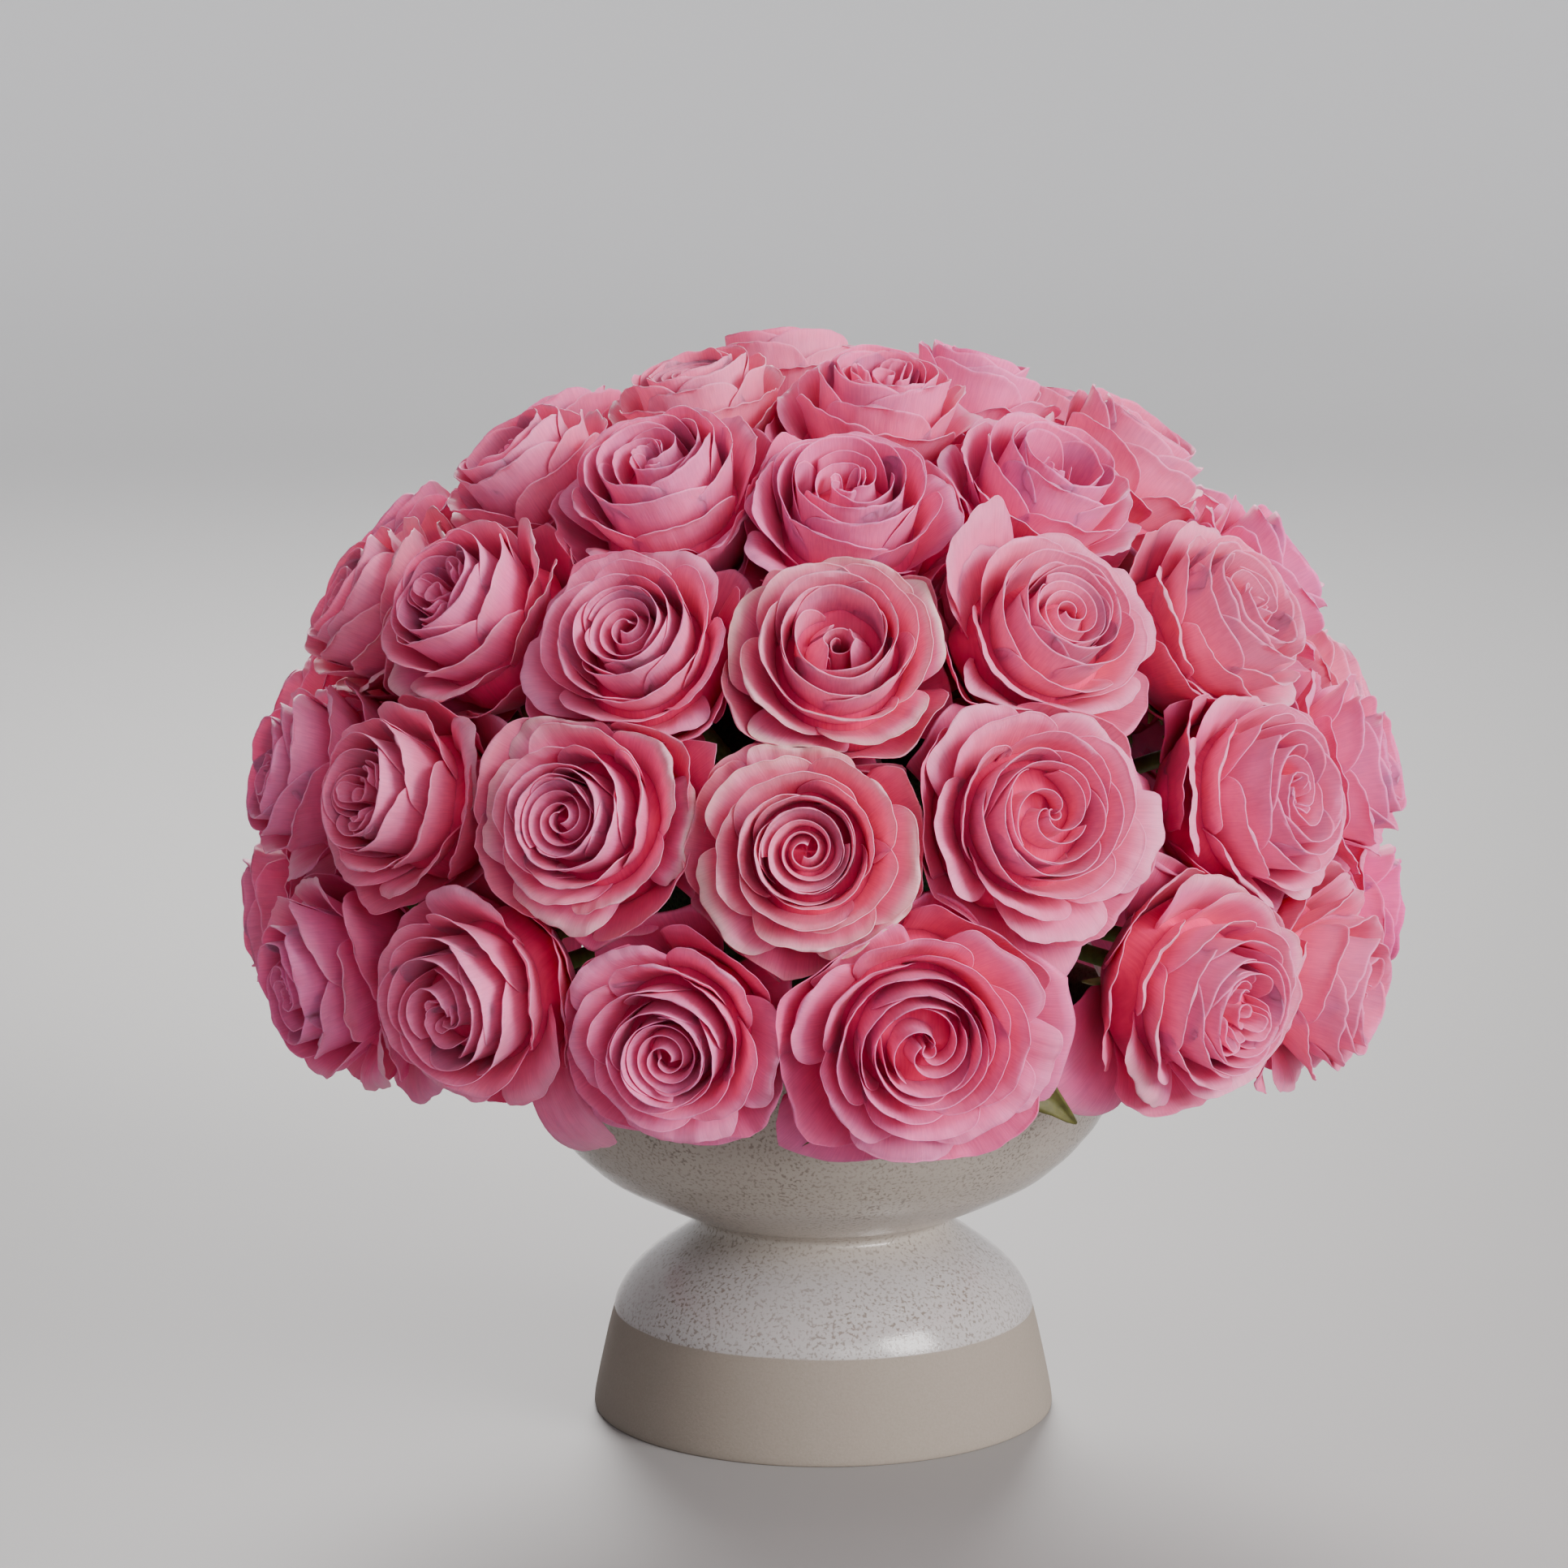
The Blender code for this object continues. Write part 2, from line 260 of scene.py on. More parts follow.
def petal(sheets, rng, rose, spec):
    """One petal, a cupped blade that rises round the rose's heart and opens or furls at its rim."""
    columns, rows = spec["mesh"]
    u = np.linspace(-1, 1, columns)[None, :]
    v = (1.0 - (1.0 - np.linspace(0, 1, rows)) ** 1.7)[:, None]

    # the rim: rounded shoulders, a slight point, soft waves and a few nicks
    edge = np.abs(u)
    tip = 1.0 - spec["drop"] * edge ** 4.0 + spec["point"] * np.exp(-(u / 0.2) ** 2)
    tip = tip + spec["frill"] * ruffle(rng, u, ((4, 0.008), (9, 0.004)))
    tip = tip - spec["frill"] * 0.03 * nicks(rng, u, 3)
    s = v * tip
    full = np.clip(s, 0, 1)
    narrow = 0.50 + 0.50 * smoothstep(0.0, 0.55, v)
    gather = 1.0 - spec["taper"] * smoothstep(0.55, 1.0, v)
    bearing = spec["turn"] + u * spec["width"] / 2 * narrow * gather

    # radius: a cup, then the rim flares out, or furls in to a line that winds round the heart
    reach, height, root = spec["reach"], spec["height"], spec["root"]
    cup = 1.0 - (1.0 - full) ** spec["cup"]
    radius = 1.8 + (spec["wall"] - 1.8) * cup * (1.0 + spec["wind"] * u * 0.3)
    opening = smoothstep(spec["opens"], 1.04, s) ** spec["curl"]
    radius = radius + (reach * (1.0 + spec["wind"] * u) - radius) * opening
    up = root + (height - root) * full ** spec["rise"]
    up = up - spec["roll"] * smoothstep(0.74, 1.06, s) ** 1.7

    # the lip, rolled softly outwards
    lip = smoothstep(0.86, 1.0, v) * (1.0 - 0.7 * edge ** 3)
    radius = radius + spec["lip"] * lip
    radius = radius * (1.0 - spec["tuck"] * edge ** 5 * full)
    up = up - 0.75 * spec["lip"] * lip ** 3

    wave = spec["frill"] * v ** 3
    radius = radius + wave * ruffle(rng, u, ((1.5, 0.9), (3.2, 0.5), (8.0, 0.22)))
    up = up + wave * ruffle(rng, u, ((1.8, 0.9), (4.0, 0.4), (9.0, 0.18)))
    up = up - spec["edge_fall"] * edge ** 3 * v ** 2
    radius = radius - spec["fold"] * np.exp(-(u / 0.22) ** 2) * v ** 1.5

    # keep inside this rose's share of the dome, and let the lowest roses hang over the bowl
    limit = room(rose["walls"], bearing, rose["base"] + up, spec["allow"])
    down = np.clip(-np.sin(bearing) * rose["level"], 0, 1)
    limit = np.minimum(limit, rose["skirt"] + spec["beyond"] + 40.0 * (1 - down))
    limit = limit * (1.0 + 0.045 * ruffle(rng, u, ((0.9, 0.7), (2.2, 0.5))))
    radius = radius / (1.0 + (np.maximum(radius, 0.0) / limit) ** 9) ** (1 / 9)
    hang = rose["hang"] * (radius / 40.0) ** 3 * down
    x = spec["offset"][0] + radius * np.cos(bearing)
    y = spec["offset"][1] + radius * np.sin(bearing)
    grid = np.stack([x, y, up - hang + 0.0 * radius], 2)

    # deep in the throat, partly the petal's own colour and partly painted shade where the petals overlap,
    # paler to the rim, and cream or green where the bud's colour is left
    patchy = 0.5 + 0.5 * np.sin(3.1 * u + 5.0 * v + rng.uniform(0, 6))
    flush = smoothstep(0.62, 1.02, s + 0.08 * edge ** 2 + 0.05 * patchy)
    inner = mixed(spec["deep_and_shade"], spec["mid"], smoothstep(0.30, 0.85, s) + 0.15 * patchy)
    inner = mixed(inner, spec["pale"], spec["paling"] * flush)
    outer = mixed(spec["mid"] * 0.92, spec["pale"], 0.65 * spec["paling"] * flush)
    cream = rose["cream"] * spec["creaming"] * smoothstep(0.80, 1.02, s + 0.04 * edge ** 2 + 0.06 * patchy)
    inner = mixed(inner, CREAM_RIM, cream)
    outer = mixed(outer, CREAM_RIM, 1.1 * cream)
    thickness = 0.55 - 0.37 * smoothstep(0.5, 1.0, v) + 0.0 * u
    uv = np.stack([u * spec["width"] * reach / 2 + 0 * v, s * height + 0 * u], 2).reshape(-1, 2)
    uv = uv * UV_PER_MM
    sheets.shell(grid, thickness, inner, outer, uv)


GUARDS = 7

# What a petal is unless its place in the rose says otherwise.
PLAIN_PETAL = {
    "mesh": (28, 12), "root": 3.0, "cup": 2.4, "rise": 1.2, "drop": 0.12, "point": 0.0, "taper": 0.10,
    "opens": 0.5, "curl": 1.2, "wind": 0.1, "roll": 0.3, "frill": 0.5, "edge_fall": 1.0, "fold": 0.0,
    "allow": 0.8, "lip": 0.9, "tuck": 0.0, "beyond": 0.0, "paling": 0.6, "creaming": 1.0,
    "offset": (0.0, 0.0),
}


def head(sheets, rng, rose):
    """All the petals of one rose, from the guard petals at its back to its heart."""
    face, tone = rose["face"], rose["tone"]
    plain = dict(PLAIN_PETAL, deep_and_shade=DEEP_PINK_AND_SHADE * tone, mid=MIDDLE * tone, pale=PALE * tone)
    turn = rng.uniform(0, math.tau)
    lean = rng.uniform(0, math.tau)
    away = rose["off_centre"]
    middle = np.array((away * math.cos(lean), away * math.sin(lean)))

    for k in range(GUARDS):
        upright = k % 2 == 0
        petal(sheets, rng, rose, dict(
            plain, mesh=(34, 12), turn=turn + math.tau * k / GUARDS + rng.uniform(-0.15, 0.15),
            width=math.radians(rng.uniform(80, 100)), root=2.0, cup=1.9 if upright else 1.5, rise=1.3,
            reach=(rng.uniform(33, 36) if upright else rng.uniform(43, 47)) * rose["size"],
            wall=(28 if upright else 32) * rose["size"], opens=0.6,
            height=(rng.uniform(31, 36) if upright else rng.uniform(21, 27)) + rose["guard_lift"],
            roll=rng.uniform(1, 3) if upright else rng.uniform(4, 8), wind=rng.uniform(-0.05, 0.05),
            frill=rng.uniform(0.5, 0.9), drop=0.20, edge_fall=2.5, paling=0.40 if upright else 0.80,
            deep_and_shade=GUARD * 0.9 * tone, mid=GUARD * tone, creaming=0.35, allow=1.5,
            point=rng.uniform(0.0, 0.08),
        ))

    heart_reach, heart_wall = HEART_ROOM[rose["heart"]]
    count = round((face - heart_reach) * rose["petals_per_mm"])
    for k in range(count):
        t = 1.0 - k / (count - 1)  # 1 at the outside, 0 next to the heart
        out = heart_reach + 1.0 + (face - heart_reach - 1.0) * t ** 1.35
        turn += GOLDEN_TURN
        sunk = 13.0 * max(t - 0.25, 0.0) ** 1.5 / 0.75 ** 1.5
        petal(sheets, rng, rose, dict(
            plain, mesh=(42, 13) if t > 0.4 else (34, 12), turn=turn + rng.uniform(-0.2, 0.2),
            width=min((44 + 9 * t) / out, math.radians(205)) * rng.uniform(0.92, 1.10),
            reach=out * rng.uniform(0.97, 1.03), height=rose["height"] - sunk + rng.uniform(-0.8, 0.8),
            root=3.0 + 6.0 * (1 - t), cup=2.2 + 0.8 * (1 - t), rise=1.35 - 0.25 * t,
            wall=heart_wall + (21.5 * rose["size"] - heart_wall) * t ** 0.9, opens=0.30 + 0.22 * t,
            roll=0.5 + 5.0 * t ** 1.6 * rng.uniform(0.5, 1.4), wind=0.07 + 0.06 * (1 - t),
            frill=(0.22 + 0.78 * t ** 2) * rose["frill"], lip=0.7 + 0.8 * t, tuck=0.06 + 0.06 * t,
            drop=0.24 + 0.08 * t, taper=0.06 + 0.12 * t,
            edge_fall=0.8 + 2.0 * t, paling=0.50 + 0.45 * t ** 0.7, creaming=0.15 + 0.85 * t ** 1.8,
            # inner petals painted darker towards the heart: painted shade deeper in the rose
            deep_and_shade=plain["deep_and_shade"] * (0.80 + 0.40 * t), mid=plain["mid"] * (0.88 + 0.12 * t),
            point=rng.choice((-0.02, 0.0, 0.03, 0.05)), offset=middle * (1 - t),
        ))
    heart(sheets, rng, rose, turn, plain, middle)
    packed_bases(sheets, rose, plain, middle)
    if rose["hanging"] is not None:
        petal(sheets, rng, rose, dict(
            plain, mesh=(36, 16), turn=rose["hanging"], width=math.radians(62), root=1.0, cup=1.5, rise=1.3,
            wall=34.0, reach=52.0, opens=0.6, height=31.0, roll=8.0, wind=0.0, frill=0.7, drop=0.6,
            point=0.14, edge_fall=3.0, allow=14.0, paling=0.9, taper=0.35, beyond=18.0,
        ))
    if rose["tall_petal"] is not None:
        petal(sheets, rng, rose, dict(
            plain, mesh=(36, 18), turn=rose["tall_petal"], width=math.radians(74), root=4.0, cup=1.9,
            rise=1.1, wall=29.0, reach=35.0, opens=0.55, height=49.0, roll=2.0, wind=0.0, frill=0.6,
            drop=0.34, edge_fall=-2.0, allow=12.0, paling=0.95, taper=0.05,
        ))


def packed_bases(sheets, rose, plain, middle):
    """The mass that the petals' packed lower parts make, seen only at the bottom of the grooves."""
    steps = 40
    turn = np.linspace(0, math.tau, steps, endpoint=False)[None, :]
    share = np.array((0.02, 0.17, 0.32, 0.46, 0.58, 0.62, 0.50, 0.3, 0.02))[:, None]
    fall = np.array((10.5, 11.0, 14.0, 19.5, 26.0, 33.0, 40.0, 44.0, 45.0))[:, None]
    fall = fall + rose["hollow"] * (1 - smoothstep(0.15, 0.34, share))
    radius = 34.0 * rose["size"] * share * (1 + 0.03 * np.sin(5 * turn) + 0.02 * np.sin(9 * turn + 1))
    height = rose["height"] - fall + 0.8 * np.sin(4 * turn + 2) * (1 - share)
    near = np.clip(1 - share, 0, 1)
    rings = np.stack([
        middle[0] * near + radius * np.cos(turn), middle[1] * near + radius * np.sin(turn), height
    ], 2).reshape(-1, 3)
    index = np.arange(len(rings)).reshape(len(share), steps)
    after = np.roll(index, -1, axis=1)
    quads = np.stack([index[:-1].ravel(), index[1:].ravel(), after[1:].ravel(), after[:-1].ravel()], 1)
    first, last = len(rings), len(rings) + 1
    points = np.concatenate([rings, rings[:steps].mean(0)[None], rings[-steps:].mean(0)[None]])
    top = np.stack([index[0], after[0], np.full(steps, first), np.full(steps, first)], 1)
    low = np.stack([index[-1], np.full(steps, last), np.full(steps, last), after[-1]], 1)
    # the throat colour a tenth darker: painted shade at the bottom of the grooves
    colours = np.tile(plain["deep_and_shade"] * 0.9, (len(points), 1))
    uv = points[:, :2] * UV_PER_MM
    sheets.add(points, np.concatenate([quads, top, low]), colours, uv, PETAL_SLOT)


# Radius that the standing petals leave to the heart at their rims, and where they stand below.
HEART_ROOM = {
    "spiral": (8.6, 10.5), "swirl": (11.0, 13.0), "cupped": (12.0, 14.0), "quartered": (10.5, 12.5),
    "open": (10.0, 12.0),
}


def heart(sheets, rng, rose, turn, plain, middle):
    """The innermost petals, in the way this rose has opened."""
    kind, top = rose["heart"], rose["height"]
    base = dict(
        plain, offset=middle, root=12.0, cup=3.2, rise=1.0, drop=0.08, edge_fall=0.5, roll=0.2,
        # heart petals painted a tenth darker than the rest: painted shade in the middle of the rose
        frill=0.25, creaming=0.15, paling=0.45, taper=0.0, deep_and_shade=plain["deep_and_shade"] * 0.9, mid=plain["mid"] * 0.9,
    )
    if kind == "spiral":
        for k in range(2):
            petal(sheets, rng, rose, dict(
                base, mesh=(110, 10), turn=turn + math.pi * k, width=math.radians(660), reach=6.0, wall=6.5,
                height=top - 3.0, wind=0.95, edge_fall=-1.5, paling=0.7, frill=0.22, root=20.0,
            ))
    elif kind == "swirl":
        for k, start in enumerate((0.0, 1.7, 4.1)):
            petal(sheets, rng, rose, dict(
                base, mesh=(44, 15), turn=turn + start + rng.uniform(-0.2, 0.2),
                width=math.radians(rng.uniform(215, 250)), reach=rng.uniform(5.2, 6.2),
                wall=rng.uniform(9.5, 11.0), opens=0.10, curl=0.9, wind=0.84, lip=0.6,
                height=top - rng.uniform(0.0, 1.5), paling=0.7, frill=0.08, drop=0.05,
            ))
        petal(sheets, rng, rose, dict(
            base, mesh=(40, 9), turn=turn, width=math.radians(330), reach=1.3, wall=1.8, height=top - 0.8,
            wind=0.75, frill=0.05, lip=0.4,
        ))
    elif kind == "cupped":
        for k in range(3):
            petal(sheets, rng, rose, dict(
                base, mesh=(44, 14), turn=turn + math.tau * k / 3 + rng.uniform(-0.4, 0.4),
                width=math.radians(rng.uniform(200, 240)), reach=rng.uniform(6.0, 7.2),
                wall=rng.uniform(10.4, 12.0), opens=0.12, curl=1.0, wind=0.72,
                height=top - rng.uniform(0.5, 2.5), paling=0.75, frill=0.30,
            ))
        for k in range(3):
            bearing = turn + 2.4 * k
            petal(sheets, rng, rose, dict(
                base, mesh=(30, 12), turn=bearing, width=math.radians(190), reach=rng.uniform(1.6, 2.6),
                wall=rng.uniform(3.6, 4.6), opens=0.2, wind=rng.uniform(-0.5, 0.5), paling=0.75,
                height=top - rng.uniform(1.5, 3.0), drop=0.2,
                offset=middle + 1.8 * np.array((math.cos(bearing), math.sin(bearing))),
            ))
    elif kind == "quartered":
        for group in range(3):
            bearing = turn + math.tau * group / 3 + rng.uniform(-0.25, 0.25)
            away = rng.uniform(4.6, 5.6)
            for k in range(3):
                petal(sheets, rng, rose, dict(
                    base, mesh=(34, 11), turn=bearing + rng.uniform(-0.3, 0.3),
                    width=math.radians(215 - 20 * k), reach=2.0 + 2.2 * k, wall=2.4 + 2.2 * k,
                    height=top - 0.6 - 0.9 * k + rng.uniform(-0.5, 0.5), wind=rng.uniform(-0.35, 0.35),
                    frill=0.2, paling=0.6, drop=0.16,
                    offset=middle + away * np.array((math.cos(bearing), math.sin(bearing))),
                ))
        petal(sheets, rng, rose, dict(
            base, mesh=(50, 9), turn=turn, width=math.radians(400), reach=2.0, wall=2.2, height=top - 2.0,
            wind=0.8,
        ))
    else:
        for part in (0.0, 1.1, 2.5, 3.9):
            petal(sheets, rng, rose, dict(
                base, mesh=(24, 14), turn=turn + part + rng.uniform(-0.25, 0.25), root=18.0,
                width=rng.uniform(0.95, 1.35), wall=rng.uniform(8.6, 9.6), reach=rng.uniform(1.8, 3.6),
                opens=0.45, curl=1.0, height=top - rng.uniform(1.5, 4.0), drop=0.40, frill=0.08,
                wind=0.0, paling=0.8, deep_and_shade=plain["mid"],
            ))
        petal(sheets, rng, rose, dict(
            base, mesh=(60, 10), turn=turn, width=math.radians(520), reach=2.6, wall=3.4, height=top - 7.0,
            wind=0.7, root=16.0, paling=0.35,
        ))


def calyx(sheets, rng, rose):
    """Green hip, five sepals folded back, and the stem down to its cut end."""
    low = STEM_TIP - rose["base"]
    path = [(0, 0, z) for z in (low, low * 0.75, low * 0.5, low * 0.25, -1.0, 1.0, 4.0, 8.0, 10.0)]
    radii = (2.3, 2.35, 2.35, 2.4, 2.5, 3.6, 5.2, 5.6, 3.0)
    sheets.tube(path, radii, 14, GREEN, GREEN_SLOT)
    start = rng.uniform(0, math.tau)
    for k in range(5):
        rows, columns = 10, 7
        v = np.linspace(0, 1, rows)[:, None]
        u = np.linspace(-1, 1, columns)[None, :]
        bearing = start + math.tau * k / 5
        length = rng.uniform(17, 24)
        half = 3.0 * (1 - v ** 1.6) ** 0.9 + 0.15
        out = 4.6 + length * np.sin(v * rng.uniform(1.1, 1.5)) * 0.8
        up = 7.0 + 5.0 * v - rng.uniform(4, 11) * v ** 2
        along = out - 0.8 * np.abs(u) * half
        x = along * math.cos(bearing) - u * half * math.sin(bearing)
        y = along * math.sin(bearing) + u * half * math.cos(bearing)
        grid = np.stack([x, y, up + 0.5 * (u * half) ** 2 * 0.2 + 0 * along], 2)
        colour = mixed(np.broadcast_to(GREEN, grid.shape), GREEN_PALE, 0.5 * v + 0 * u)
        uv = np.stack([u * half, v * length + 0 * u], 2).reshape(-1, 2) * UV_PER_MM
        sheets.shell(grid, np.full((rows, columns), 0.5), colour, colour * 1.15, uv, GREEN_SLOT)


def leaf(sheets, bearing, length, droop):
    """A pointed leaf from just under the calyx, folded along its midrib, its tip hanging."""
    rows, columns = 22, 9
    v = np.linspace(0, 1, rows)[:, None]
    u = np.linspace(-1, 1, columns)[None, :]
    half = 0.35 + 6.5 * np.sin(math.pi * np.clip((v - 0.22) / 0.78, 0, 1) ** 0.8) ** 0.9
    teeth = 1.0 + 0.07 * np.sin(34 * v) * np.abs(u)
    sideways = u * half * teeth
    out = 2.0 + length * v
    fall = droop * v ** 2.2
    up = 1.0 + 15.0 * np.sin(1.5 * v) - 7.0 * v ** 3 + 0.35 * np.abs(sideways)
    up = up + 0.25 * np.sin(26 * v + 3 * u)
    x = out * math.cos(bearing) - sideways * math.sin(bearing)
    y = out * math.sin(bearing) + sideways * math.cos(bearing) - fall
    grid = np.stack([x, y, up + 0 * x], 2)
    midrib = np.exp(-(u / 0.12) ** 2) + 0 * v
    colour = mixed(np.broadcast_to(LEAF, grid.shape), LEAF * 1.7, 0.2 + 0.4 * v ** 2 + 0 * u)
    inner = mixed(colour, LEAF * 2.4, 0.6 * midrib)
    uv = np.stack([sideways, v * length + 0 * u], 2).reshape(-1, 2) * UV_PER_MM
    sheets.shell(grid, np.full((rows, columns), 0.4), inner, colour * 0.9, uv, GREEN_SLOT)


# ---- materials ------------------------------------------------------------------------
def new_material(name, roughness):
    made = bpy.data.materials.new(name)
    made.use_nodes = True
    tree = made.node_tree
    shader = tree.nodes["Principled BSDF"]
    shader.inputs["Roughness"].default_value = roughness
    return made, tree, shader


def node(tree, kind, **settings):
    made = tree.nodes.new(kind)
    for key, value in settings.items():
        if key in made.inputs:
            made.inputs[key].default_value = value
        else:
            setattr(made, key, value)
    return made


def link(tree, source, target):
    tree.links.new(source, target)


def petal_material():
    """Soft petal skin: painted tint, fine veins along the blade, a velvety sheen."""
    made, tree, shader = new_material("petal", 0.55)
    tint = node(tree, "ShaderNodeVertexColor", layer_name="tint")
    blade = node(tree, "ShaderNodeUVMap", uv_map="blade")
    stretch = node(tree, "ShaderNodeMapping")
    stretch.inputs["Scale"].default_value = (90.0, 7.0, 1.0)
    veins = node(tree, "ShaderNodeTexNoise")
    veins.inputs["Scale"].default_value = 1.0
    veins.inputs["Detail"].default_value = 4.0
    link(tree, blade.outputs["UV"], stretch.inputs["Vector"])
    link(tree, stretch.outputs["Vector"], veins.inputs["Vector"])
    blotch = node(tree, "ShaderNodeTexNoise")
    blotch.inputs["Scale"].default_value = 160.0
    blotch.inputs["Detail"].default_value = 3.0
    where = node(tree, "ShaderNodeTexCoord")
    link(tree, where.outputs["Object"], blotch.inputs["Vector"])
    both = node(tree, "ShaderNodeMath", operation="ADD")
    link(tree, veins.outputs["Fac"], both.inputs[0])
    link(tree, blotch.outputs["Fac"], both.inputs[1])
    spread = node(tree, "ShaderNodeMapRange")
    spread.inputs["From Min"].default_value = 0.7
    spread.inputs["From Max"].default_value = 1.3
    spread.inputs["To Min"].default_value = 0.88
    spread.inputs["To Max"].default_value = 1.10
    link(tree, both.outputs[0], spread.inputs["Value"])
    vary = node(tree, "ShaderNodeVectorMath", operation="SCALE")
    link(tree, tint.outputs["Color"], vary.inputs[0])
    link(tree, spread.outputs["Result"], vary.inputs["Scale"])
    link(tree, vary.outputs["Vector"], shader.inputs["Base Color"])
    rough = node(tree, "ShaderNodeMapRange")
    rough.inputs["To Min"].default_value = 0.48
    rough.inputs["To Max"].default_value = 0.66
    link(tree, veins.outputs["Fac"], rough.inputs["Value"])
    link(tree, rough.outputs["Result"], shader.inputs["Roughness"])
    bump = node(tree, "ShaderNodeBump")
    bump.inputs["Strength"].default_value = 0.22
    bump.inputs["Distance"].default_value = 0.0004
    link(tree, veins.outputs["Fac"], bump.inputs["Height"])
    link(tree, bump.outputs["Normal"], shader.inputs["Normal"])
    shader.inputs["Sheen Weight"].default_value = 0.05
    shader.inputs["Sheen Roughness"].default_value = 0.5
    shader.inputs["Sheen Tint"].default_value = (1.0, 0.85, 0.9, 1.0)
    shader.inputs["Subsurface Weight"].default_value = 0.6
    shader.inputs["Subsurface Radius"].default_value = (1.0, 0.30, 0.42)
    shader.inputs["Subsurface Scale"].default_value = 0.0012
    shader.inputs["Specular IOR Level"].default_value = 0.25
    return made


def green_material():
    """Stem, sepals and leaves: painted green, mottled."""
    made, tree, shader = new_material("leaf", 0.5)
    tint = node(tree, "ShaderNodeVertexColor", layer_name="tint")
    where = node(tree, "ShaderNodeTexCoord")
    mottle = node(tree, "ShaderNodeTexNoise")
    mottle.inputs["Scale"].default_value = 400.0
    mottle.inputs["Detail"].default_value = 4.0
    link(tree, where.outputs["Object"], mottle.inputs["Vector"])
    spread = node(tree, "ShaderNodeMapRange")
    spread.inputs["From Min"].default_value = 0.3
    spread.inputs["From Max"].default_value = 0.7
    spread.inputs["To Min"].default_value = 0.75
    spread.inputs["To Max"].default_value = 1.2
    link(tree, mottle.outputs["Fac"], spread.inputs["Value"])
    vary = node(tree, "ShaderNodeVectorMath", operation="SCALE")
    link(tree, tint.outputs["Color"], vary.inputs[0])
    link(tree, spread.outputs["Result"], vary.inputs["Scale"])
    link(tree, vary.outputs["Vector"], shader.inputs["Base Color"])
    bump = node(tree, "ShaderNodeBump")
    bump.inputs["Strength"].default_value = 0.3
    bump.inputs["Distance"].default_value = 0.0004
    link(tree, mottle.outputs["Fac"], bump.inputs["Height"])
    link(tree, bump.outputs["Normal"], shader.inputs["Normal"])
    return made


# ---- roses ----------------------------------------------------------------------------
def rose_object(name, axes, number, petal_look, green_look):
    axis = axes[name]
    side, up, out = rose_frame(axis)
    rng = np.random.default_rng(1000 + number)
    face = DOME_SIDE + (DOME_TOP - DOME_SIDE) * max(axis.z, 0.0) ** 2
    size = SIZES.get(name, 1.0)
    rose = {
        "walls": walls_round(axes, name), "base": face - HEAD_DEPTH, "size": size,
        "face": 33.5 * size, "height": HEAD_DEPTH * rng.uniform(0.97, 1.02),
        "heart": HEARTS.get(name, HEART_TURNS[number % len(HEART_TURNS)]),
        "cream": CREAM.get(name, rng.uniform(0.05, 0.22)),
        "tone": np.array(TONES.get(name, (1.0, rng.uniform(0.88, 1.12), rng.uniform(0.92, 1.04)))),
        "guard_lift": 3.0 * math.sin(2.1 * number), "hang": 9.0 if name[0] == "a" else 2.5,
        "skirt": 35.5 * size if name[0] == "a" else FREE_REACH,
        "off_centre": rng.uniform(0.5, 3.5), "petals_per_mm": rng.uniform(0.76, 0.88),
        "frill": rng.uniform(0.7, 1.2), "hollow": 12.0 if HEARTS.get(name) == "open" else 0.0,
        "level": math.sqrt(max(1.0 - axis.z ** 2, 0.0)), "tall_petal": TALL_PETALS.get(name),
        "hanging": HANGING_PETALS.get(name),
    }
    sheets = Sheets()
    head(sheets, rng, rose)
    calyx(sheets, rng, rose)
    for bearing, length, droop in LEAVES.get(name, ()):
        leaf(sheets, bearing, length, droop)
    mesh = sheets.mesh(f"bloom_{name}")
    place = Matrix((side, up, out)).transposed().to_4x4()
    place.translation = (Vector((0, 0, DOME_Z)) + out * rose["base"]) * MM
    mesh.transform(place)
    mesh.materials.append(petal_look)
    mesh.materials.append(green_look)
    obj = bpy.data.objects.new(f"bloom_{name}", mesh)
    bpy.context.scene.collection.objects.link(obj)
    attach(obj, f"rose_{name}")
    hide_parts(f"rose_{name}")
    return obj


def build_roses():
    axes = rose_axes()
    petal_look, green_look = petal_material(), green_material()
    for number, name in enumerate(axes):
        rose_object(name, axes, number, petal_look, green_look)


# ---- bowl -----------------------------------------------------------------------------
BOWL_SECTION = (
    (0.0, 55.0), (20.0, 53.4), (30.4, 49.0), (40.6, 42.6), (48.8, 36.0), (54.4, 27.0), (58.0, 12.0),
    (60.2, 1.2), (61.4, 0.0), (65.4, 0.0), (66.9, 1.6), (64.6, 14.0), (61.0, 29.0), (57.6, 36.5),
    (52.8, 42.0), (46.6, 47.0), (39.6, 52.0), (36.4, 56.0), (38.6, 58.4), (44.4, 60.8), (54.7, 65.8),
    (63.2, 70.4), (70.9, 76.6), (78.0, 84.6), (83.4, 93.6), (87.0, 104.0), (89.0, 117.0),
    (88.2, 120.6), (86.2, 121.5), (84.2, 120.3), (83.2, 117.0), (81.6, 106.0), (78.2, 96.6),
    (72.6, 87.6), (65.6, 79.8), (57.0, 74.0), (46.0, 69.6), (30.0, 66.6), (0.0, 65.8),
)


def smooth_section(points, between):
    """Catmull-Rom curve through a turned section."""
    p = np.array(points, float)
    p = np.concatenate([[2 * p[0] - p[1]], p, [2 * p[-1] - p[-2]]])
    t = np.linspace(0, 1, between, endpoint=False)[:, None]
    run = []
    for a, b, c, d in zip(p, p[1:], p[2:], p[3:]):
        run.append(0.5 * (2 * b + (c - a) * t + (2 * a - 5 * b + 4 * c - d) * t ** 2
                          + (3 * b - a - 3 * c + d) * t ** 3))
    run.append(p[-2][None])
    run = np.concatenate(run)
    return np.maximum(run, 0.0)


